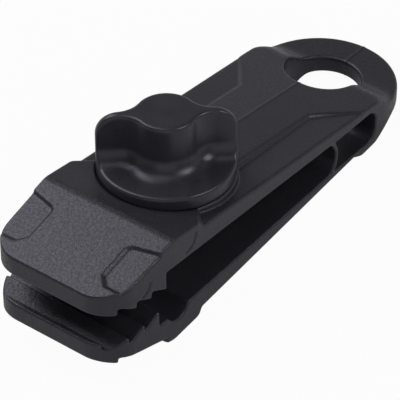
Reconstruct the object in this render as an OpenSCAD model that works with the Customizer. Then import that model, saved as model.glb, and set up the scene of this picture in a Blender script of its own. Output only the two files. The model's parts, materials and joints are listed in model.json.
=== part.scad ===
// Screw-down tarp clip: a moulded hairpin with toothed jaws in front, a loop at the back,
// and a wing knob whose bolt draws the upper arm down on a nut held in the lower arm.
// The clip lies on the outer face of its lower arm. +X runs from the jaws to the loop.

/* [Arms] */
// Width of the clip, which is also the diameter of the loop
clip_w = 32; // [31:0.5:38]
// Half of the height over both arms, at the screw
half_h = 10.6; // [10.2:0.1:12]
// Slope of each arm's outer face, in degrees
arm_pitch = 6.25; // [5.5:0.25:7]
// Thickness of each arm, at the screw
arm_t = 5.5; // [5.2:0.1:6]
// Slope of each arm's inner face, in degrees
gap_pitch = 2.4; // [2:0.1:3]
// Radius of the front corners, seen from above
corner_r = 7; // [4:0.5:9]

/* [Jaws] */
// From the screw to the rearmost tooth of the upper jaw
tooth_x = 20.1; // [19.5:0.1:23]
// Distance from tooth to tooth
tooth_pitch = 4.3; // [3.9:0.1:4.7]
// Teeth behind the front lip
tooth_n = 3; // [2:1:4]
// Height of a tooth
tooth_d = 1.5; // [1.1:0.1:1.9]
// Flat at the foot of a tooth
tooth_land = 0.6; // [0.3:0.1:1]
// How far the line of the tooth tips passes the middle plane, at the screw
tip_past = 0.3; // [0:0.1:0.6]
// Length of the upper jaw's front lip
lip_len = 3.5; // [2.5:0.1:4.5]
// From the screw to the start of the front slope
slope_x = 18; // [16:0.5:19.5]
// Drop of the front slope, at the nose
nose_drop = 6.7; // [5.5:0.1:7.5]
// Radius of the trough behind the lower teeth
trough_r = 3.4; // [2.8:0.1:3.8]
// Depth of the trough below the inner face
trough_d = 2.1; // [1:0.1:2.6]
// From the rearmost upper tooth back to the middle of the trough
trough_back = 3.5; // [3:0.1:4.5]

/* [Relief] */
// Width of the raised spine along the arms
spine_w = 17.2; // [14:0.2:20]
// Drop from the spine to the side panels
panel_drop = 1.4; // [0.6:0.1:1.6]
// From the screw forward to the front end of the side panels
panel_x = 10; // [8:0.5:12]
// From the middle of the loop forward to where the spine flares
flare_ahead = 15.3; // [13:0.1:17]
// Depth of the pockets in the front slope
pocket_drop = 0.9; // [0.4:0.1:1.4]
// From the start of the front slope to the pockets
pocket_start = 4.2; // [3:0.1:6]
// Length of a pocket along the clip
pocket_len = 10.8; // [8:0.1:11]
// Width of a pocket, from the side edge inwards
pocket_w = 6.2; // [4:0.1:7]
// Cut-off corner of a pocket
pocket_cut = 1.6; // [0.5:0.1:2.5]

/* [Loop] */
// From the screw to the middle of the loop
loop_x = 51.8; // [51:0.2:60]
// Radius of the hole in the loop
hole_r = 8.1; // [6:0.1:9]
// From the middle of the loop back to the middle of the hole
hole_back = 0.2; // [0:0.1:2]
// Half of the loop's thickness at its rear edge
rim_half = 1.8; // [1.2:0.1:2]
// Half of the loop's thickness at the bend behind the hole's middle
bend_half = 2.1; // [2:0.1:3]
// From the hole's middle back to that bend
bend_back = 4.4; // [3.6:0.2:7]
// From the middle of the loop forward to the end of the slot
slot_margin = 2.6; // [1.5:0.1:5]
// Share of the slot's half height in its rear corners' radius
slot_round_share = 0.725; // [0.4:0.005:0.9]
// How far the radius of the web's curve passes half the gap there
web_past = 0.874; // [0.6:0.002:1.2]
// Thickness of the web
web_t = 1; // [0.8:0.1:1.4]
// From the middle of the loop forward to the middle of the web's curve
web_ahead = 21.4; // [20:0.1:23]

/* [Flexing joint] */
// Radius of the round joint in the upper arm, over the web
joint_r = 2.6; // [2.3:0.1:2.8]
// Clearance in that joint
joint_gap = 0.3; // [0.2:0.05:0.4]

/* [Knob] */
// Outer radius of the knob
knob_r = 13.9; // [12:0.1:14.4]
// Height of the knob
knob_h = 14; // [11:0.5:18]
// Height of the flange under the finger scoops
flange_h = 3.1; // [2:0.1:4]
// Radius of the round hub
hub_r = 6.2; // [5.4:0.1:6.8]
// Thickness of the two wings
wing_t = 1.9; // [1.5:0.1:3]
// Radius between hub and wing
wing_fillet = 5.5; // [3:0.1:6]
// Radius of the knob's upper edge
crown_r = 4.6; // [2:0.1:5.5]
// Turn of the wings from the clip's length, in degrees
wing_turn = -47; // [-90:0.5:90]
// Clearance under the knob
seat_gap = 0.3; // [0.2:0.05:0.5]
// Knob seat above the arm's outer face, at the screw
seat_lift = 0.25; // [0:0.05:0.5]
// Room around the knob in its seat
seat_margin = 0.4; // [0.3:0.1:1]

/* [Bolt and nut] */
// Thread diameter of the bolt
bolt_d = 5; // [4:0.5:5.5]
// Length of the bolt's thread in the nut while the jaws are open
bolt_grip = 0.95; // [0.6:0.05:1.5]
// Width across the flats of the bolt's head
head_af = 8; // [7:0.1:8.5]
// Height of the bolt's head
head_h = 3.5; // [2.5:0.1:4.5]
// Thickness of the knob under the bolt's head
head_lift = 1; // [0.8:0.1:1.4]
// Width across the flats of the nut
nut_af = 8; // [7.5:0.1:10]
// Height of the nut
nut_h = 2.7; // [2.4:0.1:2.9]
// Floor between the nut's pocket and the gap
nut_floor = 1.3; // [1:0.1:1.5]
// Clearance over the nut, in which it rocks
nut_rock = 0.5; // [0.4:0.05:0.6]
// Clearance beside the nut
nut_side = 0.25; // [0.2:0.05:0.4]
// Extra length of the nut's pocket, in which it shifts
nut_shift = 1.3; // [1.2:0.1:2]
// Radial clearance of the thread in the nut
thread_gap = 0.05; // [0.02:0.01:0.1]
// Radial clearance of the bolt in the upper arm
bolt_gap = 0.08; // [0.04:0.01:0.1]
// Radial clearance of the bolt in the lower arm
slot_gap = 0.6; // [0.5:0.1:1]
// Extra length of the bolt's slot in the lower arm
slot_shift = 1; // [0.9:0.1:1.5]

/* [Hidden] */
$fn = 64;
nylon_black = "#232326";
knob_black = "#2b2b2e";
zinc = "#b9bbbd";
// Overrun of every cut past the face that it opens
overrun = 2;
// Step to which the slot's own sizes are rounded, so that its round corners meet its flat walls
size_step = 0.01;
// How far the knob's pad reaches in under the side panels' edge
pad_bury = 0.5;

half_w = clip_w / 2;
gap_half = half_h - arm_t;
tip_d = half_h + tip_past;
reach = 3 * half_h;
jaw_x = tooth_x + tooth_n * tooth_pitch + lip_len;
lower_tooth_x = tooth_x + tooth_pitch / 2;
trough_x = tooth_x - trough_back;
hole_x = loop_x + hole_back;
tail_x = loop_x + half_w;
flare_x = loop_x - flare_ahead;
web_x = loop_x - web_ahead;
web_r = inner_z(web_x) + web_past;
split_x = web_x + web_r + web_t;
joint_x = web_x + web_r;
joint_z = (outer_z(joint_x - joint_r) + inner_z(joint_x - joint_r)) / 2;
slot_half = to_step(inner_z(split_x - web_t / 2));
slot_r = to_step(slot_half * slot_round_share);
slot_end = loop_x - slot_margin;
nose_z = below(-jaw_x, nose_drop)[1];
slope_angle = atan((outer_z(-slope_x) - nose_z) / (jaw_x - slope_x));
seat_z = half_h + seat_lift;
pad_r = knob_r + seat_margin;
pad_foot = (outer_z(pad_r) - panel_drop + inner_z(pad_r)) / 2;
knob_z = seat_z + seat_gap;
head_z = knob_z + head_lift;
bolt_r = bolt_d / 2;
pocket_floor = gap_half + nut_floor;
nut_top = pocket_floor + nut_rock;
bolt_len = head_z + nut_top + bolt_grip;
// The clip's box, seen level, runs from the lower nose to the upper edge of the loop
front_end = jaw_x * cos(arm_pitch) + nose_z * sin(arm_pitch);
rear_end = tail_x * cos(arm_pitch) + rim_half * sin(arm_pitch);
middle_x = (rear_end - front_end) / 2;

// Height of an arm's outer and inner face over the middle plane
function outer_z(x) = half_h - x * tan(arm_pitch);
function inner_z(x) = gap_half - x * tan(gap_pitch);
// The point at x that lies a depth below the outer face
function below(x, depth) = [x, outer_z(x) - depth / cos(arm_pitch)];
// A size rounded to the step
function to_step(size) = round(size / size_step) * size_step;
// Distance from the middle to the corner of a hexagon
function corner(across_flats) = across_flats / sqrt(3);

// Lays the clip on its lower arm, with the origin under the middle of its box
module place() {
    translate([-middle_x, 0, half_h * cos(arm_pitch)]) rotate([0, arm_pitch, 0]) children();
}

// Drives a side view, drawn in x and z, across the whole width
module across() {
    rotate([90, 0, 0]) linear_extrude(clip_w + 2 * overrun, center = true) children();
}

// Drives a plan view, drawn in x and y, through the whole height
module upright() {
    linear_extrude(2 * reach, center = true) children();
}

// Outline of the clip from above: round front corners and a round loop
module clip_plan() {
    translate([-jaw_x + corner_r, -half_w]) square([jaw_x - corner_r + loop_x, clip_w]);
    translate([-jaw_x, -half_w + corner_r]) square([corner_r, clip_w - 2 * corner_r]);
    for (side = [-1, 1]) translate([-jaw_x + corner_r, side * (half_w - corner_r)]) circle(corner_r);
    translate([loop_x, 0]) circle(half_w);
}

// One tooth, from its tip at x to the foot of the next one in front of it
function tooth(x, next) = [
    below(-x, tip_d),
    below(-next + tooth_land, tip_d - tooth_d),
    below(-next, tip_d - tooth_d)
];

// Side view of an arm from its nose to the end, with its teeth at the given places
module arm_side(teeth, end) {
    rear = teeth[0];
    lip = rear + tooth_n * tooth_pitch;
    bite = [for (i = [0 : len(teeth) - 1]) each tooth(teeth[i], i + 1 < len(teeth) ? teeth[i + 1] : lip)];
    polygon(concat(
        [below(-slope_x, 0), below(end, 0), [end, inner_z(end)], [-rear, inner_z(-rear)]],
        bite,
        [below(-lip, tip_d), below(-jaw_x, tip_d), [-jaw_x, nose_z]]
    ));
}

// Side view of the loop: the arms run together in a flat tail behind the slot
module tail_side() {
    front = joint_x - joint_r - overrun;
    top = [below(hole_x, 0), [hole_x + bend_back, bend_half], [tail_x, rim_half]];
    foot = [for (i = [len(top) - 1 : -1 : 0]) [top[i][0], -top[i][1]]];
    polygon(concat(
        [[front, inner_z(front)], below(front, 0)],
        top,
        foot,
        [[split_x, -outer_z(split_x)], [split_x, -inner_z(split_x)], [split_x, inner_z(split_x)]]
    ));
}

// Side view of the space in front of the round joint
module joint_side() {
    difference() {
        translate([web_x - overrun, 0]) square([joint_x - web_x + overrun, reach]);
        translate([joint_x, joint_z]) circle(joint_r);
    }
}

// Side view of the slot between the web and the tail
module slot_side() {
    front = web_x - overrun;
    translate([front, -slot_half]) square([slot_end - slot_r - front, 2 * slot_half]);
    translate([front, -slot_half + slot_r]) square([slot_end - front, 2 * (slot_half - slot_r)]);
    for (side = [-1, 1]) translate([slot_end - slot_r, side * (slot_half - slot_r)]) circle(slot_r);
}

// The space over a sloping face that drops from a point of the side view
module over_face(point, angle, depth) {
    translate([point[0], 0, point[1]]) rotate([0, angle, 0]) translate([-reach, -half_w - overrun, -depth])
        cube([2 * reach + tail_x, clip_w + 2 * overrun, reach]);
}

// The side panels of an arm, lower than the spine and clear of the knob's pad
module side_panels() {
    flank = half_w - spine_w / 2;
    intersection() {
        over_face([0, half_h], arm_pitch, panel_drop);
        upright() difference() {
            for (side = [0, 1]) mirror([0, side]) polygon([
                [-panel_x - overrun, -half_w - overrun],
                [-panel_x + flank, -spine_w / 2],
                [flare_x, -spine_w / 2],
                [flare_x + flank + overrun, -half_w - overrun]
            ]);
            circle(pad_r - pad_bury);
        }
    }
}

// The shallow pockets at both edges of the front slope
module slope_pockets() {
    start = -slope_x - pocket_start;
    inside = half_w - pocket_w;
    intersection() {
        over_face(below(-slope_x, 0), -slope_angle, pocket_drop);
        upright() for (side = [0, 1]) mirror([0, side]) polygon([
            [start, half_w + overrun],
            [start, inside + pocket_cut],
            [start - pocket_cut, inside],
            [start - pocket_len + pocket_cut, inside],
            [start - pocket_len, inside + pocket_cut],
            [start - pocket_len, half_w + overrun]
        ]);
    }
}

// A hexagon with flats at its sides, drawn out along the clip by a length
module long_hexagon(across_flats, shift) {
    c = corner(across_flats);
    a = across_flats / 2;
    polygon([[-c, 0], [-c / 2, -a], [c / 2 + shift, -a], [c + shift, 0], [c / 2 + shift, a], [-c / 2, a]]);
}

// A round-ended slot that starts round the screw and runs backwards
module long_hole(r, shift) {
    circle(r);
    translate([0, -r]) square([shift, 2 * r]);
    translate([shift, 0]) circle(r);
}

// Lower arm: toothed jaw, trough, and the nut's pocket in its outer face
module lower_arm() {
    teeth = [for (i = [0 : tooth_n - 1]) lower_tooth_x + i * tooth_pitch];
    color(nylon_black) place() mirror([0, 0, 1]) difference() {
        intersection() {
            across() arm_side(teeth, split_x);
            upright() clip_plan();
        }
        side_panels();
        slope_pockets();
        across() translate([-trough_x, inner_z(-trough_x) + trough_d - trough_r]) circle(trough_r);
        upright() long_hole(bolt_r + slot_gap, slot_shift);
        translate([0, 0, pocket_floor]) linear_extrude(reach) long_hexagon(nut_af + 2 * nut_side, nut_shift);
    }
}

// Web: the thin curved wall that ties the arms and gives when they close
module hinge_web() {
    color(nylon_black) place() intersection() {
        across() intersection() {
            translate([web_x, 0]) difference() {
                circle(web_r + web_t);
                circle(web_r);
            }
            polygon([
                [web_x, inner_z(web_x)],
                [split_x, inner_z(split_x)],
                [split_x, -inner_z(split_x)],
                [web_x, -inner_z(web_x)]
            ]);
        }
        upright() clip_plan();
    }
}

// Rear eye: the loop with its hole and slot, and the round joint of the upper arm
module rear_eye() {
    color(nylon_black) place() difference() {
        intersection() {
            across() difference() {
                tail_side();
                joint_side();
                slot_side();
            }
            upright() clip_plan();
        }
        side_panels();
        mirror([0, 0, 1]) side_panels();
        translate([hole_x, 0, -reach]) cylinder(h = 2 * reach, r = hole_r);
    }
}

// Upper arm: toothed jaw and the level seat under the knob
module upper_arm() {
    teeth = [for (i = [0 : tooth_n - 1]) tooth_x + i * tooth_pitch];
    color(nylon_black) place() difference() {
        union() {
            difference() {
                intersection() {
                    across() arm_side(teeth, joint_x);
                    upright() clip_plan();
                }
                side_panels();
                slope_pockets();
            }
            translate([0, 0, pad_foot]) cylinder(h = seat_z - pad_foot, r = pad_r);
        }
        translate([0, 0, seat_z]) cylinder(h = reach, r = pad_r);
        translate([0, 0, -reach]) cylinder(h = 2 * reach, r = bolt_r + bolt_gap);
        across() translate([joint_x, joint_z]) circle(joint_r + joint_gap);
    }
}

// Plan of the hub and the two wings, with a round fillet between them
module wing_plan() {
    fillet_y = wing_t / 2 + wing_fillet;
    fillet_x = sqrt(pow(hub_r + wing_fillet, 2) - pow(fillet_y, 2));
    circle(hub_r);
    translate([-knob_r - overrun, -wing_t / 2]) square([2 * (knob_r + overrun), wing_t]);
    for (end = [0, 1]) for (side = [0, 1]) mirror([end, 0]) mirror([0, side]) difference() {
        polygon([[0, 0], [fillet_x, 0], [fillet_x, fillet_y]]);
        translate([fillet_x, fillet_y]) circle(wing_fillet);
    }
}

// Knob: a round flange with two wings, moulded round the head of the bolt
module knob() {
    color(knob_black) place() translate([0, 0, knob_z]) difference() {
        rotate_extrude() {
            square([knob_r, knob_h - crown_r]);
            square([knob_r - crown_r, knob_h]);
            translate([knob_r - crown_r, knob_h - crown_r]) circle(crown_r);
        }
        translate([0, 0, flange_h]) linear_extrude(knob_h) difference() {
            circle(knob_r + overrun);
            rotate(wing_turn) wing_plan();
        }
        translate([0, 0, head_lift]) linear_extrude(head_h) long_hexagon(head_af, 0);
        translate([0, 0, -overrun]) cylinder(h = head_lift + 2 * overrun, r = bolt_r);
    }
}

// Bolt: hexagon head in the knob and a plain shank at the thread's outer diameter
module bolt() {
    color(zinc) place() translate([0, 0, head_z]) {
        linear_extrude(head_h) long_hexagon(head_af, 0);
        translate([0, 0, -bolt_len]) cylinder(h = bolt_len, r = bolt_r);
    }
}

// Nut: thin hexagon nut that rocks in the pocket of the lower arm
module nut() {
    color(zinc) place() translate([0, 0, -nut_top - nut_h]) linear_extrude(nut_h) difference() {
        long_hexagon(nut_af, 0);
        circle(bolt_r + thread_gap);
    }
}

lower_arm();
hinge_web();
rear_eye();
upper_arm();
knob();
bolt();
nut();
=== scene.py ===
# %% [markdown]
# # A screw tarp clip
# The clip is a hairpin of black glass-filled nylon. Its jaws have teeth, its rear end is an eye for a rope,
# and a wing knob draws the arms together with a bolt and a nut.
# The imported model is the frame: every piece below is made in metres, where that model says it is.

# %% Load the frame
import json
import math

import bmesh
import bpy
import numpy as np
import openvdb
from mathutils import Matrix, Vector


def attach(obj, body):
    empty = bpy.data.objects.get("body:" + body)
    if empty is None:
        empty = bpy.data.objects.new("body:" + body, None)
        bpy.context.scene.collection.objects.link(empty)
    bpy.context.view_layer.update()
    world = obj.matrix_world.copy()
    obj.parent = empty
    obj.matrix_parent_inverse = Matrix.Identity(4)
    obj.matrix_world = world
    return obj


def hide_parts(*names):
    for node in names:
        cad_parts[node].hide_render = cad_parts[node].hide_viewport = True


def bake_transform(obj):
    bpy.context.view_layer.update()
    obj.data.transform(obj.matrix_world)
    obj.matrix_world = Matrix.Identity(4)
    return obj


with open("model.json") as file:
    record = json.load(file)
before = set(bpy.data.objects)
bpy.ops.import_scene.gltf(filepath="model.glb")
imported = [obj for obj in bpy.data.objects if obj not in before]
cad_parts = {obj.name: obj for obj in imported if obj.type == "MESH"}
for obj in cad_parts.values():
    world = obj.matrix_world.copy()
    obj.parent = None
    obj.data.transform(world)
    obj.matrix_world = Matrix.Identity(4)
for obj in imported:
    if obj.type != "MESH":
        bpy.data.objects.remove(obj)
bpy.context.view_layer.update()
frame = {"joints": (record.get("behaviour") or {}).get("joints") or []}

# %% [markdown]
# The clip lies on its lower arm, so its middle plane is tilted, and so is the screw.
# It is easier to draw the clip in its own axes: the screw is Z, the clip runs along X, and lengths are in
# millimetres. The knob's joint gives these axes, so they can't drift away from the model.

# %% The clip's own axes
MM = 0.001
knob_joint = next(joint for joint in frame["joints"] if joint["name"] == "knob_turn")
screw_up = -Vector(knob_joint["axis"])
arm_pitch = math.atan2(screw_up.x, screw_up.z)
clip_axes = Matrix.Rotation(arm_pitch, 4, "Y")
clip_axes.translation = Vector(knob_joint["pos_m"])


print("middle plane tilted by", round(math.degrees(arm_pitch), 2), "degrees")

# %% [markdown]
# The camera comes first. It was worked out from the clip's straight edges and round outlines: it looks down
# on the jaws from the front left, from far away with a long lens.

# %% Camera
camera_azimuth = math.radians(-52.185)
camera_elevation = math.radians(38.741)
camera_distance = 563.8
camera_target = Vector((10.61, 0, -3.617))
back = Vector((
    math.sin(camera_azimuth) * math.cos(camera_elevation),
    -math.cos(camera_azimuth) * math.cos(camera_elevation),
    math.sin(camera_elevation),
))
right = Vector((math.cos(camera_azimuth), math.sin(camera_azimuth), 0))
stand = Matrix((right, back.cross(right), back)).transposed().to_4x4()
stand.translation = (camera_target + back * camera_distance) * MM
camera_data = bpy.data.cameras.new("camera")
camera_data.sensor_width = 36
camera_data.lens = 252
camera_data.clip_start = 0.01
camera = bpy.data.objects.new("camera", camera_data)
camera.matrix_world = clip_axes @ stand
bpy.context.scene.collection.objects.link(camera)
bpy.context.scene.camera = camera
print("camera at", [round(c, 3) for c in camera.matrix_world.translation])

# %% [markdown]
# Moulded plastic has no sharp edges. Boolean cuts with a Bevel modifier could round them, but bevels on a
# shape with this many cuts soon fail. So each piece is drawn as a distance field instead: a block of numbers
# that says how far each point is from the surface, negative inside. A flat outline is the first such field.

# %% Distance fields
def axis_points(low, high, voxel):
    return np.arange(low, high + voxel, voxel, dtype=np.float32)


def outline_field(points, u, v):
    """Distance from a closed outline of straight lines, negative inside."""
    nearest = np.full(np.broadcast(u, v).shape, 1e9, np.float32)
    inside = np.zeros(nearest.shape, bool)
    for (au, av), (bu, bv) in zip(points, points[1:] + points[:1]):
        eu = bu - au
        ev = bv - av
        along = np.clip(((u - au) * eu + (v - av) * ev) / (eu * eu + ev * ev), 0, 1)
        nearest = np.minimum(nearest, (u - au - along * eu) ** 2 + (v - av - along * ev) ** 2)
        if ev:
            inside ^= ((av > v) != (bv > v)) & (u < au + eu * (v - av) / ev)
    distance = np.sqrt(nearest)
    return np.where(inside, -distance, distance).astype(np.float32)


print("fields are measured in millimetres")

# %% [markdown]
# The smaller of two fields joins them and the larger keeps only what they share, so a cut is the larger of
# one field and the other turned inside out. A fillet between two fields is a circle in their two distances,
# and a blur rounds every edge and corner alike.

# %% Joining, cutting and rounding
def join(*fields):
    total = fields[0]
    for field in fields[1:]:
        total = np.minimum(total, field)
    return total


def overlap(*fields):
    total = fields[0]
    for field in fields[1:]:
        total = np.maximum(total, field)
    return total


def cut(solid, *tools):
    return overlap(solid, *[-tool for tool in tools])


def round_join(a, b, radius):
    """Joins two fields with a hollow fillet of that radius between them."""
    near_a = np.maximum(radius - a, 0)
    near_b = np.maximum(radius - b, 0)
    return np.maximum(radius, np.minimum(a, b)) - np.hypot(near_a, near_b)


def round_cut(solid, tool, radius):
    """Cuts one field out of another and rounds the edge that is left."""
    return -round_join(-solid, tool, radius)


def soften(field, passes):
    """Blurs a field a little along each axis, which rounds its edges."""
    for _ in range(passes):
        for axis in range(field.ndim):
            field = (2 * field + np.roll(field, 1, axis) + np.roll(field, -1, axis)) / 4
    return field


print("four ways to combine two fields, and a blur")

# %% [markdown]
# OpenVDB, which Blender brings along, wraps a mesh of quads round the zero of a field. Only a narrow band of
# distances near the surface matters, so the rest is clipped.

# %% Skins
band_voxels = 3


def skin(name, field, low, voxel):
    """Turns a field that starts at a low corner into a smooth mesh object."""
    band = band_voxels * voxel
    grid = openvdb.FloatGrid(background=band)
    grid.copyFromArray(np.clip(field, -band, band).astype(np.float32))
    points, quads = grid.convertToQuads(isovalue=0.0)
    mesh = bpy.data.meshes.new(name)
    mesh.from_pydata((points * voxel + np.array(low)).tolist(), [], quads[:, ::-1].tolist())
    mesh.transform(Matrix.Scale(MM, 4))
    mesh.transform(clip_axes)
    mesh.shade_smooth()
    piece = bpy.data.objects.new(name, mesh)
    bpy.context.scene.collection.objects.link(piece)
    print(name, len(mesh.vertices), "vertices", len(mesh.polygons), "faces")
    return piece


# %% [markdown]
# The hairpin is one moulding, and its side view holds most of the shape. A drawn curve with thickness could
# give it, but then the teeth could hardly be set by numbers. Two straight lines give each arm: its outer
# face, tilted like the arm, and its inner face, tilted less, so that the arms taper towards the eye.

# %% Lines of the arms
half_height = 10.6
arm_thickness = 5.5
gap_half = half_height - arm_thickness
gap_pitch = math.radians(2.4)
half_width = 16.0
loop_x = 51.8
tail_x = loop_x + half_width
web_to_loop = 21.4
web_x = loop_x - web_to_loop
web_thickness = 1.0
web_past = 0.874


def outer_z(x):
    return half_height - x * math.tan(arm_pitch)


def inner_z(x):
    return gap_half - x * math.tan(gap_pitch)


def below(x, depth):
    """A point in the side view, at a depth under the outer face."""
    return (x, outer_z(x) - depth / math.cos(arm_pitch))


web_radius = inner_z(web_x) + web_past
split_x = web_x + web_radius + web_thickness
print("the arms meet", round(split_x, 2), "mm behind the screw")

# %% [markdown]
# The noses slant, and saw teeth on the jaws point backwards to hold the cloth. The teeth of the two jaws are
# set half a pitch apart, so that they mesh when the screw is tightened. Behind its teeth the lower jaw has a
# round trough for the bead of a hem.

# %% Arms from the side
tooth_x = 20.1
tooth_pitch = 4.3
tooth_count = 3
tooth_height = 1.5
tooth_land = 0.6
upper_tip_past = 0.4
lower_tip_past = 0.1
lip_length = 3.5
jaw_x = tooth_x + tooth_count * tooth_pitch + lip_length
slope_x = 18.0
slope_ease = 0.6
nose_drop = 6.7
nose_z = below(-jaw_x, nose_drop)[1]
trough_back = 3.5
trough_x = tooth_x - trough_back
trough_radius = 3.4
trough_depth = 2.1
spare = 1.0


def arm_outline(rear_tooth, tip_depth):
    """Side view of an arm, with spare height that the top face trims later."""
    foot_depth = tip_depth - tooth_height
    lip = rear_tooth + tooth_count * tooth_pitch
    tips = [rear_tooth + i * tooth_pitch for i in range(tooth_count)]
    bite = []
    for tip, foot in zip(tips, tips[1:] + [lip]):
        bite += [below(-tip, tip_depth), below(tooth_land - foot, foot_depth), below(-foot, foot_depth)]
    ease_share = slope_ease / (jaw_x - slope_x)
    ease_z = (1 - ease_share) * outer_z(-slope_x) + ease_share * nose_z
    top = [(-slope_x - slope_ease, ease_z), below(slope_ease - slope_x, 0)]
    top += [below(slope_ease - slope_x, -spare), below(split_x, -spare)]
    inner = [(split_x, inner_z(split_x)), (-rear_tooth, inner_z(-rear_tooth))]
    nose = [below(-lip, tip_depth), below(-jaw_x, tip_depth), (-jaw_x, nose_z)]
    return top + inner + bite + nose


voxel = 0.2
edge_room = 1.2
nose_room = 6.0
body_low = (-jaw_x - edge_room, -half_width - edge_room, -nose_z - nose_room)
body_high = (tail_x + edge_room, half_width + edge_room, nose_z + nose_room)
x_line, y_line, z_line = [axis_points(a, b, voxel) for a, b in zip(body_low, body_high)]
side_x = x_line[:, None]
side_z = z_line[None, :]
upper_outline = arm_outline(tooth_x, half_height + upper_tip_past)
lower_outline = arm_outline(tooth_x + tooth_pitch / 2, half_height + lower_tip_past)
upper_side = outline_field(upper_outline, side_x, side_z)
lower_side = outline_field(lower_outline, side_x, -side_z)
trough_z = inner_z(-trough_x) + trough_depth - trough_radius
lower_side = cut(lower_side, np.hypot(side_x + trough_x, side_z + trough_z) - trough_radius)
print("outline of an arm:", len(upper_outline), "points")

# %% [markdown]
# The arms run into the solid tail, which a slot with round ends divides. What is left in front of the slot
# is the web: a thin half ring that bends when the screw closes the jaws.

# %% Web, slot and tail from the side
slot_to_loop = 2.6
slot_reach = 5.0
slot_round_share = 0.725
tail_start = 3.0
web_start = 1.0

slot_half = inner_z(split_x - web_thickness / 2)
slot_round = slot_round_share * slot_half
slot_end = loop_x - slot_to_loop
slot_front = web_x - slot_reach
slot_u = np.abs(side_x - (slot_front + slot_end) / 2) - (slot_end - slot_front) / 2 + slot_round
slot_v = np.abs(side_z) - slot_half + slot_round
slot_corner = np.hypot(np.maximum(slot_u, 0), np.maximum(slot_v, 0))
slot_side = slot_corner + np.minimum(np.maximum(slot_u, slot_v), 0)
tail_front = web_x + tail_start
tail_side = overlap(tail_front - side_x, np.abs(side_z) - outer_z(tail_front) - spare)
tail_side = cut(tail_side, slot_side - slot_round)
web_ring = np.abs(np.hypot(side_x - web_x, side_z) - web_radius - web_thickness / 2) - web_thickness / 2
web_ends = np.abs(side_z) - inner_z(web_x) - web_thickness / 2
web_side = overlap(web_ring, web_x + web_start - side_x, web_ends)
side_view = join(upper_side, lower_side, tail_side, web_side)
print("side view", side_view.shape)

# %% [markdown]
# From above, the hairpin has rounded front corners and a round eye, and its nose narrows a little.

# %% Plan of the hairpin
front_round = 7.0
nose_taper = 0.6

plan_x = x_line[:, None]
plan_y = np.abs(y_line)[None, :]
nose_share = np.clip((-plan_x - slope_x) / (jaw_x - slope_x), 0, 1)
corner_u = -jaw_x + front_round - plan_x
corner_v = plan_y + nose_taper * nose_share - half_width + front_round
corner = np.hypot(np.maximum(corner_u, 0), np.maximum(corner_v, 0)) - front_round
straight = overlap(np.maximum(corner_u, corner_v) - front_round, plan_x - loop_x)
plan_front = np.where((corner_u > 0) & (corner_v > 0), corner, straight)
plan = join(plan_front, np.hypot(plan_x - loop_x, plan_y) - half_width)
print("plan", plan.shape)

# %% [markdown]
# The side view and the plan, cut with each other, give the block. Its two mould halves part along the
# middle, so its top falls away a little to both sides. Behind the arms a short ramp leads down to the thin
# ring round the eye, and the ring's edge is rounded.

# %% Block of the hairpin
roof_rise = 0.75
roof_start = -14.0
roof_length = 24.0
crease_past = 0.2
crease_cut = 2.2
crease_edge = 3.0
ramp_slope = 0.68
ramp_round = 0.35
ring_top = 2.15
ring_bottom = 1.65
ring_edge = 0.5

x = x_line[:, None, None]
y = y_line[None, :, None]
z = z_line[None, None, :]
roof_share = np.clip((plan_x - roof_start) / roof_length, 0, 1)
roof = roof_rise * roof_share ** 2 * (3 - 2 * roof_share) * (1 - plan_y / half_width)
over_upper = (z - outer_z(x) - roof[:, :, None]) * math.cos(arm_pitch)
over_lower = (-z - outer_z(x)) * math.cos(arm_pitch)
crease_bend = (np.maximum(plan_y - half_width + crease_edge, 0) / crease_edge) ** 2
crease = loop_x + crease_past - crease_cut * crease_bend


def over_ring(face_z, ring):
    """Distance over the ramp that falls to one face of the ring, with a round foot."""
    ramp = outer_z(crease) - ramp_slope * (plan_x - crease) - ring
    tail = ring + (ramp + np.sqrt(ramp ** 2 + 4 * ramp_round ** 2)) / 2
    return (face_z - tail[:, :, None]) * math.cos(math.atan(ramp_slope))


body = overlap(side_view[:, None, :], plan[:, :, None], over_upper, over_lower)
body = round_cut(body, -over_ring(z, ring_top), ring_edge)
body = round_cut(body, -over_ring(-z, ring_bottom), ring_edge)
print("hairpin block", body.shape)

# %% [markdown]
# Inserts in the mould lower the panels beside the spine, which saves plastic and leaves the arm stiff. They
# are cut out of the block with drafted walls, because the moulding has to leave the mould. The panels of the
# upper arm are deepest beside the knob, and stop at the round pad that the knob sits on.

# %% Panels
spine_half = 8.8
panel_x = 10.0
flare_to_loop = 16.3
flare_x = loop_x - flare_to_loop
flare_run = 8.9
panel_drop = 1.4
panel_rise_share = 0.024
panel_draft = 0.4
panel_round = 0.5
knob_radius = 13.9
seat_margin = 0.15
seat_radius = knob_radius + seat_margin
pad_bury = 0.5
overrun = 4.0

flank = half_width - spine_half
panel_outline = [
    (-panel_x - overrun, half_width + overrun),
    (-panel_x + flank, spine_half),
    (flare_x, spine_half),
    (flare_x + flare_run * (flank + overrun) / flank, half_width + overrun),
]
panel_plan = outline_field(panel_outline, plan_x, plan_y)
panel_plan = overlap(panel_plan, seat_radius - pad_bury - np.hypot(plan_x, plan_y))
panel_wall = panel_plan[:, :, None]
upper_floor = panel_drop - panel_rise_share * np.maximum(x + panel_x, 0)
upper_panel = overlap(panel_wall - panel_draft * over_upper, -upper_floor - z + outer_z(x))
lower_panel = overlap(panel_wall - panel_draft * over_lower, -panel_drop - over_lower)
body = round_cut(body, upper_panel, panel_round)
body = round_cut(body, lower_panel, panel_round)
print("panels", flank, "mm wide on each side")

# %% [markdown]
# Each nose has a shallow pocket on both sides, open to the side, with cut corners. They follow the slanted
# face of the nose, so they are measured down from that face.

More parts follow.
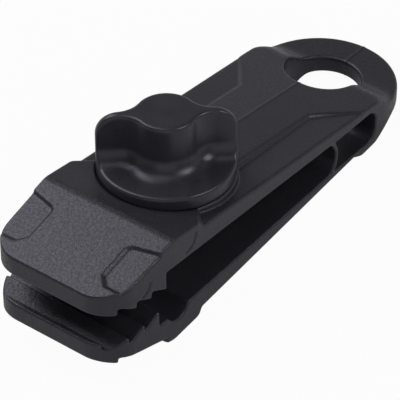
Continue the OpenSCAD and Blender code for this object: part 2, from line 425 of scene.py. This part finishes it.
# %% Pockets
pocket_to_slope = 3.6
pocket_start = slope_x + pocket_to_slope
pocket_length = 11.2
pocket_width = 6.8
pocket_inside = half_width - pocket_width
pocket_slant = 1.3
pocket_corner = 0.8
pocket_front_corner = 1.9
pocket_draft = 0.2
pocket_round = 0.2
upper_pocket_drop = 0.55
lower_pocket_drop = 1.2
lower_pocket_shift = 1.6
lower_pocket_length = 13.0


def pocket_plan(start, length):
    """Plan of the pockets on both sides of a nose, from a distance in front of the screw."""
    return outline_field([
        (-start, half_width + overrun),
        (-start, half_width),
        (-start - pocket_slant, pocket_inside + pocket_corner),
        (-start - pocket_slant - pocket_corner, pocket_inside),
        (-start - length + pocket_front_corner, pocket_inside),
        (-start - length, pocket_inside + pocket_front_corner),
        (-start - length, half_width + overrun),
    ], plan_x, plan_y)[:, :, None]


nose_angle = math.atan2(outer_z(-slope_x) - nose_z, jaw_x - slope_x)
nose_top = outer_z(-slope_x) + (x + slope_x) * math.tan(nose_angle)
over_upper_nose = (z - nose_top) * math.cos(nose_angle)
over_lower_nose = (-z - nose_top) * math.cos(nose_angle)
upper_pocket = pocket_plan(pocket_start, pocket_length) - pocket_draft * over_upper_nose
upper_pocket = overlap(upper_pocket, -upper_pocket_drop - over_upper_nose)
lower_pocket = pocket_plan(pocket_start - lower_pocket_shift, lower_pocket_length)
body = round_cut(body, upper_pocket, pocket_round)
body = cut(body, overlap(lower_pocket, -lower_pocket_drop - over_lower_nose))
print("noses slant by", round(math.degrees(nose_angle), 1), "degrees")

# %% [markdown]
# The knob turns on a level seat, half raised from the arm and half let into it. The eye's hole is slightly
# long. The bolt passes the upper arm closely and the lower arm in a longer hole, because the arms tilt as
# they close, and the nut lies in a long hexagonal pocket under the lower arm. A last blur rounds all edges.

# %% Seat and holes
seat_rise = 0.4
seat_z = half_height + seat_rise
seat_thickness = 4.0
hole_front_x = 52.2
hole_rear_x = 52.6
hole_radius = 7.95
hole_round = 0.5
bolt_radius = 2.5
bolt_gap = 0.08
slot_gap = 0.6
slot_shift = 1.0
nut_flats = 8.0
nut_side = 0.25
nut_shift = 1.3
nut_floor = 1.3
nut_floor_z = gap_half + nut_floor
body_blur = 2


def hexagon_field(flats, shift, u, v):
    """Distance from a hexagon with flats at its sides, drawn out along the clip by a shift."""
    corner_out = flats / math.sqrt(3)
    side = [(corner_out / 2 + shift, flats / 2), (-corner_out / 2, flats / 2)]
    mirrored = [(a, -b) for a, b in reversed(side)]
    return outline_field([(corner_out + shift, 0)] + side + [(-corner_out, 0)] + mirrored, u, v)


from_screw = np.hypot(x, y)
seat_pad = np.abs(z - seat_z + seat_thickness / 2) - seat_thickness / 2
body = join(body, overlap(from_screw - seat_radius, seat_pad))
body = cut(body, overlap(from_screw - seat_radius, seat_z - z))
hole_u = np.maximum(np.maximum(hole_front_x - x, x - hole_rear_x), 0)
body = round_cut(body, np.hypot(hole_u, y) - hole_radius, hole_round)
body = cut(body, overlap(from_screw - bolt_radius - bolt_gap, -z))
bolt_slot_u = np.maximum(np.maximum(-x, x - slot_shift), 0)
body = cut(body, overlap(np.hypot(bolt_slot_u, y) - bolt_radius - slot_gap, z))
nut_pocket = hexagon_field(nut_flats + 2 * nut_side, nut_shift, plan_x, plan_y)
body = cut(body, overlap(nut_pocket[:, :, None], z + nut_floor_z))
body = soften(body, body_blur)
print("hairpin field", body.shape)

# %% [markdown]
# Some marks of the mould are too fine for the blur and come after it: the ridge where its halves met, which
# runs along the top in the middle, and the traces of two ejector pins on each side of the upper arm.

# %% Mould marks
ridge_height = 0.09
ridge_width = 0.22
mark_depth = 0.3
mark_width = 0.26
mark_reach = 1.0
pin_marks = [((-14.4, 10.2), 3.2), ((-27.4, 6.9), 2.5)]
body -= ridge_height * np.exp(-(y / ridge_width) ** 2) * (z > 0) * (x > 0)
for (pin_x, pin_z), pin_radius in pin_marks:
    from_arc = np.hypot(side_x - pin_x, side_z - pin_z) - pin_radius
    trace = np.exp(-(from_arc / mark_width) ** 2) * (side_x > pin_x) * (side_z < pin_z)
    body += mark_depth * trace[:, None, :] * (np.abs(y) > half_width - mark_reach)
hairpin = skin("hairpin", body, body_low, voxel)

# %% [markdown]
# The hairpin bends just in front of its web, so the mesh is parted there: the upper arm is one piece that
# turns smoothly from the body to the upper jaw, and the rest stays with the body.

# %% Upper arm and body
part_past = 1.4
part_depth = 0.4


def parted(piece, name, keep):
    """Copies a piece and keeps only the faces that are marked."""
    mesh = piece.data.copy()
    mesh.name = name
    keeper = bpy.data.objects.new(name, mesh)
    bpy.context.scene.collection.objects.link(keeper)
    work = bmesh.new()
    work.from_mesh(mesh)
    unwanted = [face for face, kept in zip(work.faces, keep) if not kept]
    bmesh.ops.delete(work, geom=unwanted, context="FACES")
    work.to_mesh(mesh)
    work.free()
    print(name, len(mesh.polygons), "faces")
    return keeper


centres = np.empty(len(hairpin.data.polygons) * 3, np.float32)
hairpin.data.polygons.foreach_get("center", centres)
to_clip = np.array(clip_axes.inverted())
centres = (centres.reshape(-1, 3) @ to_clip[:3, :3].T + to_clip[:3, 3]) / MM
part_z = np.where(centres[:, 0] < web_x, 0, slot_half - part_depth)
is_upper = (centres[:, 0] < split_x + part_past) & (centres[:, 2] > part_z)
upper_arm = parted(hairpin, "upper_arm_skin", is_upper)
body_skin = parted(hairpin, "body_skin", ~is_upper)
bpy.data.objects.remove(hairpin)

# %% [markdown]
# The knob is round, with a domed edge and two deep scoops that leave a hub and two wings for the fingers. A
# lathed profile with boolean cuts could give it, but the scoops run into the flange in wide fillets, and a
# field makes those in one step. Seen from above, the wings meet the hub in round corners too.

# %% Knob
knob_height = 14.0
flange = 3.1
hub_radius = 6.2
wing_half = 0.95
wing_fillet = 5.5
wing_turn = math.radians(-47)
scoop_fillet = 3.6
crown = 4.6
rim_round = 0.6
seat_gap = 0.15
knob_z = seat_z + seat_gap
knob_voxel = 0.16
knob_room = 1.0
knob_blur = 3

knob_low = (-knob_radius - knob_room, -knob_radius - knob_room, -knob_room)
knob_high = (knob_radius + knob_room, knob_radius + knob_room, knob_height + knob_room)
kx_line, ky_line, kz_line = [axis_points(a, b, knob_voxel) for a, b in zip(knob_low, knob_high)]
kx = kx_line[:, None]
ky = ky_line[None, :]
along = np.abs(kx * math.cos(wing_turn) + ky * math.sin(wing_turn))
across = np.abs(ky * math.cos(wing_turn) - kx * math.sin(wing_turn))
fillet_v = wing_half + wing_fillet
fillet_u = math.sqrt((hub_radius + wing_fillet) ** 2 - fillet_v ** 2)
in_corner = (along < fillet_u) & (across * fillet_u < along * fillet_v)
corner_arc = wing_fillet - np.hypot(along - fillet_u, across - fillet_v)
wings = np.where(in_corner, corner_arc, join(np.hypot(kx, ky) - hub_radius, across - wing_half))
radius = np.hypot(kx, ky)[:, :, None]
height = kz_line[None, None, :]
crown_u = radius - knob_radius + crown
crown_v = height - knob_height + crown
blank = overlap(crown_u - crown, crown_v - crown, -height)
blank = np.where((crown_u > 0) & (crown_v > 0), np.hypot(crown_u, crown_v) - crown, blank)
scooped = round_join(wings[:, :, None], height - flange, scoop_fillet)
knob_field = soften(round_cut(blank, -scooped, rim_round), knob_blur)
knob_skin = skin("knob_skin", knob_field, (knob_low[0], knob_low[1], knob_low[2] + knob_z), knob_voxel)

# %% [markdown]
# The bolt and the nut hardly show, but they are what the clip works with: an M5 bolt whose head is moulded
# into the knob, and a thin nut with turned corners. A Screw modifier could wind the thread; as a field it is
# one line, because the depth of the groove depends only on height and angle.

# %% Bolt
thread_pitch = 0.8
thread_depth = 0.49
head_flats = 8.0
head_height = 3.5
head_bury = 1.0
head_z = knob_z + head_bury
shank_in_head = 1.0
nut_rest = 0.5
nut_top_z = -nut_floor_z - nut_rest
bolt_in_nut = 0.95
bolt_tip_z = nut_top_z - bolt_in_nut
steel_voxel = 0.1
steel_room = 0.5
steel_blur = 1

steel_edge = head_flats / math.sqrt(3) + steel_room
steel_line = axis_points(-steel_edge, steel_edge, steel_voxel)
sx = steel_line[:, None, None]
sy = steel_line[None, :, None]
from_axis = np.hypot(sx, sy)
bolt_low = (-steel_edge, -steel_edge, bolt_tip_z - steel_room)
bz = axis_points(bolt_low[2], head_z + head_height + steel_room, steel_voxel)[None, None, :]
turn = bz / thread_pitch - np.arctan2(sy, sx) / (2 * math.pi)
groove = np.abs(turn - np.round(turn)) * 2
shank = from_axis - bolt_radius + thread_depth * groove
shank = overlap(shank, bolt_tip_z - bz, bz - head_z - shank_in_head)
shank = overlap(shank, from_axis - bolt_radius + thread_depth - (bz - bolt_tip_z))
head = overlap(hexagon_field(head_flats, 0, sx, sy), head_z - bz, bz - head_z - head_height)
bolt_skin = skin("bolt_skin", soften(join(shank, head), steel_blur), bolt_low, steel_voxel)

# %% [markdown]
# The nut's corners are turned off to a cone on both faces, which is a field of its height and its radius.

# %% Nut
nut_height = 2.7
thread_gap = 0.05
nut_bore = bolt_radius + thread_gap
chamfer_along = 0.87
chamfer_out = 0.5

nut_low = (-steel_edge, -steel_edge, nut_top_z - nut_height - steel_room)
nz = axis_points(nut_low[2], nut_top_z + steel_room, steel_voxel)[None, None, :]
nut_faces = np.abs(nz - (nut_top_z - nut_height / 2)) - nut_height / 2
chamfer = chamfer_along * nut_faces + chamfer_out * (from_axis - nut_flats / 2)
nut_field = overlap(hexagon_field(nut_flats, 0, sx, sy), nut_faces, chamfer)
nut_field = cut(nut_field, from_axis - nut_bore)
nut_skin = skin("nut_skin", soften(nut_field, steel_blur), nut_low, steel_voxel)

# %% [markdown]
# One function turns the sRGB colours that people write as hex into the linear ones that Blender mixes, and
# another adds a node, sets its values and links its sockets.

# %% Material helpers
def linear(code):
    channels = [int(code[i:i + 2], 16) / 255 for i in (1, 3, 5)]
    return [c / 12.92 if c <= 0.04045 else ((c + 0.055) / 1.055) ** 2.4 for c in channels] + [1]


def blank_nodes(data):
    """Empties the node tree of a material or a world."""
    data.use_nodes = True
    data.node_tree.nodes.clear()
    return data


def node(data, kind, links=None, values=None, **properties):
    """Adds a node, sets its properties and values, and links its sockets."""
    made = data.node_tree.nodes.new(kind)
    for name, value in properties.items():
        setattr(made, name, value)
    for socket, value in (values or {}).items():
        made.inputs[socket].default_value = value
    for socket, source in (links or {}).items():
        data.node_tree.links.new(source, made.inputs[socket])
    return made


print("mid grey in linear light:", round(linear("#808080")[0], 3))

# %% [markdown]
# Glass-filled nylon comes out of a spark-eroded mould with a fine even grain, which breaks up its reflection
# and makes it look like dull leather. The real grain is about 0.15 mm; it is drawn at 0.55 mm, so that it
# shows in a picture of this size. Slow clouds a few millimetres wide stand for the flow of the melt.

# %% Nylon
grain_size = 0.55 * MM
grain_height = 0.1 * MM
flow_size = 6 * MM
nylon = blank_nodes(bpy.data.materials.new("Glass-filled nylon, spark-eroded mould"))
place = node(nylon, "ShaderNodeTexCoord").outputs["Object"]
grain = node(nylon, "ShaderNodeTexNoise", {"Vector": place}, {"Scale": 1 / grain_size, "Detail": 3.0})
flow = node(nylon, "ShaderNodeTexNoise", {"Vector": place}, {"Scale": 1 / flow_size, "Detail": 2.0})
tone = node(
    nylon, "ShaderNodeMix", {0: flow.outputs["Fac"]}, {6: linear("#212025"), 7: linear("#28272c")},
    data_type="RGBA",
)
rough = node(
    nylon, "ShaderNodeMapRange", {"Value": grain.outputs["Fac"]},
    {"From Min": 0.3, "From Max": 0.7, "To Min": 0.31, "To Max": 0.49},
)
bump = node(
    nylon, "ShaderNodeBump", {"Height": grain.outputs["Fac"]},
    {"Strength": 0.5, "Distance": grain_height},
)
shader = node(
    nylon, "ShaderNodeBsdfPrincipled",
    {"Base Color": tone.outputs[2], "Roughness": rough.outputs["Result"], "Normal": bump.outputs["Normal"]},
    {"IOR": 1.53, "Specular Tint": linear("#f0eeff")},
)
node(nylon, "ShaderNodeOutputMaterial", {"Surface": shader.outputs["BSDF"]})
print(nylon.name, len(nylon.node_tree.nodes), "nodes")

# %% [markdown]
# The knob is acetal, moulded in a polished tool and then handled, so it is satin: smoother than the clip,
# with soft highlights in its scoops and faint smears of wear.

# %% Knob plastic
smear_size = 4 * MM
smear_height = 0.04 * MM
acetal = blank_nodes(bpy.data.materials.new("Acetal, satin moulded"))
place = node(acetal, "ShaderNodeTexCoord").outputs["Object"]
smear = node(acetal, "ShaderNodeTexNoise", {"Vector": place}, {"Scale": 1 / smear_size, "Detail": 4.0})
grain = node(acetal, "ShaderNodeTexNoise", {"Vector": place}, {"Scale": 1 / grain_size, "Detail": 2.0})
tone = node(
    acetal, "ShaderNodeMix", {0: smear.outputs["Fac"]}, {6: linear("#2b2a2f"), 7: linear("#313035")},
    data_type="RGBA",
)
rough = node(
    acetal, "ShaderNodeMapRange", {"Value": smear.outputs["Fac"]},
    {"From Min": 0.3, "From Max": 0.7, "To Min": 0.27, "To Max": 0.35},
)
bump = node(
    acetal, "ShaderNodeBump", {"Height": grain.outputs["Fac"]},
    {"Strength": 0.12, "Distance": smear_height},
)
shader = node(
    acetal, "ShaderNodeBsdfPrincipled",
    {"Base Color": tone.outputs[2], "Roughness": rough.outputs["Result"], "Normal": bump.outputs["Normal"]},
    {"IOR": 1.48, "Specular Tint": linear("#f0eeff")},
)
node(acetal, "ShaderNodeOutputMaterial", {"Surface": shader.outputs["BSDF"]})
print(acetal.name, len(acetal.node_tree.nodes), "nodes")

# %% [markdown]
# Bolt and nut are rolled steel with a bright zinc plating, which looks bluish white and slightly cloudy.

# %% Zinc plating
plate_size = 1.5 * MM
zinc = blank_nodes(bpy.data.materials.new("Zinc-plated steel, bright passivated"))
place = node(zinc, "ShaderNodeTexCoord").outputs["Object"]
cloud = node(zinc, "ShaderNodeTexNoise", {"Vector": place}, {"Scale": 1 / plate_size, "Detail": 4.0})
tone = node(
    zinc, "ShaderNodeMix", {0: cloud.outputs["Fac"]}, {6: linear("#a9adb1"), 7: linear("#c9cbcb")},
    data_type="RGBA",
)
rough = node(
    zinc, "ShaderNodeMapRange", {"Value": cloud.outputs["Fac"]},
    {"From Min": 0.3, "From Max": 0.7, "To Min": 0.25, "To Max": 0.42},
)
shader = node(
    zinc, "ShaderNodeBsdfPrincipled",
    {"Base Color": tone.outputs[2], "Roughness": rough.outputs["Result"]}, {"Metallic": 1.0},
)
node(zinc, "ShaderNodeOutputMaterial", {"Surface": shader.outputs["BSDF"]})
print(zinc.name, len(zinc.node_tree.nodes), "nodes")

# %% [markdown]
# Each piece now gets its material and takes the place of its plain solids. All but the upper arm ride on the
# body that moves them; the upper arm only has its placing applied to its mesh, and it rides on no body.

# %% Dressing and riding
dressed = [
    (upper_arm, nylon, "nylon", ["upper_arm"]),
    (body_skin, nylon, "nylon", ["lower_arm", "hinge_web", "rear_eye"]),
    (knob_skin, acetal, "knob", ["knob"]),
    (bolt_skin, zinc, "steel", ["bolt"]),
    (nut_skin, zinc, "steel", ["nut"]),
]
for piece, material, slot, nodes in dressed:
    piece.data.materials.append(material)
    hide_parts(*nodes)
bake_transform(upper_arm)
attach(body_skin, "body")
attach(knob_skin, "knob")
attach(bolt_skin, "knob")
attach(nut_skin, "nut")
print("dressed", [piece.name for piece, *_ in dressed])

# %% [markdown]
# The clip lies on a wide white floor. The floor looks white to the camera and pale in reflections, and keeps
# a soft shadow, because part of its shade still comes from the light that reaches it. Its back is clear, so
# that the clip can be looked at from below too.

# %% Floor
floor_reach = 3.0
floor_gap = 0.05 * MM
white_share = 0.96
mirror_share = 0.2
corners = [(-1, -1), (1, -1), (1, 1), (-1, 1)]
floor_mesh = bpy.data.meshes.new("floor")
floor_points = [(u * floor_reach, v * floor_reach, -floor_gap) for u, v in corners]
floor_mesh.from_pydata(floor_points, [], [(0, 1, 2, 3)])
floor = bpy.data.objects.new("floor", floor_mesh)
bpy.context.scene.collection.objects.link(floor)
paper = blank_nodes(bpy.data.materials.new("Paper sweep, white matte"))
rays = node(paper, "ShaderNodeLightPath").outputs
mirrored = node(
    paper, "ShaderNodeMath", {0: rays["Is Glossy Ray"], 1: rays["Is Transmission Ray"]},
    operation="MAXIMUM",
)
mirrored = node(paper, "ShaderNodeMath", {0: mirrored.outputs[0]}, {1: mirror_share}, operation="MULTIPLY")
seen = node(paper, "ShaderNodeMath", {0: rays["Is Camera Ray"]}, {1: white_share}, operation="MULTIPLY")
share = node(paper, "ShaderNodeMath", {0: seen.outputs[0], 1: mirrored.outputs[0]}, operation="MAXIMUM")
matte = node(paper, "ShaderNodeBsdfDiffuse", values={"Color": linear("#cccccc")})
white = node(paper, "ShaderNodeEmission", values={"Strength": 1.0})
mixed = node(
    paper, "ShaderNodeMixShader",
    {0: share.outputs[0], 1: matte.outputs["BSDF"], 2: white.outputs["Emission"]},
)
clear = node(paper, "ShaderNodeBsdfTransparent")
back_side = node(paper, "ShaderNodeNewGeometry").outputs["Backfacing"]
sided = node(
    paper, "ShaderNodeMixShader",
    {0: back_side, 1: mixed.outputs["Shader"], 2: clear.outputs["BSDF"]},
)
node(paper, "ShaderNodeOutputMaterial", {"Surface": sided.outputs["Shader"]})
floor_mesh.materials.append(paper)
print("floor", 2 * floor_reach, "m wide")

# %% [markdown]
# A studio for small products is a pale backdrop low down behind the object and a dim room above and in
# front of it. The world stands for both: it is bright below a height and dim above it, and half as bright in
# front. The level top of the clip mirrors the backdrop, and the ring and the knob's top mirror the dim room.
# Only to the camera is the world plain white.

# %% Backdrop and room
backdrop_level = 0.5
room_level = 0.07
front_share = 0.5
backdrop_top = 0.34
room_bottom = 0.46
behind = (0.79, 0.61, 0)
side_blend = 0.4
world = blank_nodes(bpy.data.worlds.new("studio"))
direction = node(world, "ShaderNodeTexCoord").outputs["Generated"]
heights = node(world, "ShaderNodeSeparateXYZ", {0: direction})
level = node(
    world, "ShaderNodeMapRange", {"Value": heights.outputs["Z"]},
    {"From Min": backdrop_top, "From Max": room_bottom, "To Min": backdrop_level, "To Max": room_level},
    interpolation_type="SMOOTHSTEP",
)
towards = node(world, "ShaderNodeVectorMath", {0: direction}, {1: behind}, operation="DOT_PRODUCT")
side = node(
    world, "ShaderNodeMapRange", {"Value": towards.outputs["Value"]},
    {"From Min": -side_blend, "From Max": side_blend, "To Min": front_share, "To Max": 1.0},
    interpolation_type="SMOOTHSTEP",
)
strength = node(world, "ShaderNodeMath", {0: level.outputs[0], 1: side.outputs[0]}, operation="MULTIPLY")
in_view = node(world, "ShaderNodeLightPath").outputs["Is Camera Ray"]
strength = node(world, "ShaderNodeMath", {0: strength.outputs[0], 1: in_view}, operation="MAXIMUM")
sky = node(world, "ShaderNodeBackground", {"Strength": strength.outputs[0]}, {"Color": (1, 1, 1, 1)})
node(world, "ShaderNodeOutputWorld", {"Surface": sky.outputs["Background"]})
bpy.context.scene.world = world
print(world.name, len(world.node_tree.nodes), "nodes")

# %% [markdown]
# The lamps are square softboxes that all look at the clip. The sloping noses mirror the large one on the
# left and look lightest, and the bowls of the knob's scoops show the left and the right one as soft streaks.
# A weak wide one in front opens the shadows of the noses, and a small one overhead grounds the clip on the
# floor.

# %% Lamps
softbox_distance = 0.9
softboxes = [
    ("softbox left", Vector((0.05, 0.62, 0.78)), 0.62, 4.0),
    ("softbox right", Vector((0.25, -0.66, 0.71)), 0.38, 2.4),
    ("front fill", Vector((-0.75, -0.55, 0.3)), 1.0, 1.5),
    ("overhead", Vector((-0.15, 0.0, 1.0)), 0.5, 0.8),
]
for name, way, size, energy in softboxes:
    lamp = bpy.data.lights.new(name, "AREA")
    lamp.size = size
    lamp.energy = energy
    softbox = bpy.data.objects.new(name, lamp)
    softbox.location = way.normalized() * softbox_distance
    softbox.rotation_euler = way.to_track_quat("Z", "Y").to_euler()
    bpy.context.scene.collection.objects.link(softbox)
    print(name, "at", [round(c, 2) for c in softbox.location])
bpy.context.scene.view_settings.view_transform = "Standard"
